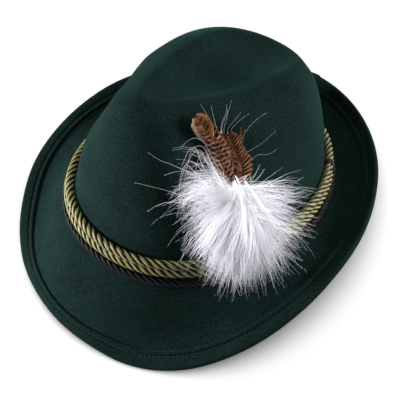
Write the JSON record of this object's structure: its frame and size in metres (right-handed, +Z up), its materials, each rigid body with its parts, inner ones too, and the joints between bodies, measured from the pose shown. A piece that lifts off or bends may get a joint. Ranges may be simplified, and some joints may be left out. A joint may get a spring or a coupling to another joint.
{
  "type": "tyrolean hat",
  "caption": "Soft green felt hat with a creased and pinched crown, a brim turned down in front and up behind, twisted cords, barred feathers and a white down plume.",
  "frame": {"origin": "on the surface that the hat rests on, under the middle of its bounding box", "axes": "+Z up, -Y towards the front of the hat, +X towards the wearer's left, where the plume is"},
  "size_m": [0.238, 0.2856, 0.1411],
  "materials": {
    "felt": "wool or fur felt, matt, fine dense nap",
    "binding": "strip of the same felt folded over the edge and sewn down with one row of stitches",
    "gold": "twisted cord of olive gold rayon yarns with a soft lustre",
    "dark": "twisted cord of brown-black yarns",
    "wrap": "tight whipping of black thread",
    "feather": "barred brown pheasant feather, silky",
    "plume": "white down, soft and fluffy"
  },
  "bodies": {
    "root": {"felt_body": "felt", "brim_binding": "binding", "cord_gold_upper": "gold", "cord_gold_lower": "gold", "cord_dark": "dark", "cord_wrap": "wrap", "feather_long": "feather", "feather_short": "feather", "plume_white": "plume"}
  },
  "joints": []
}
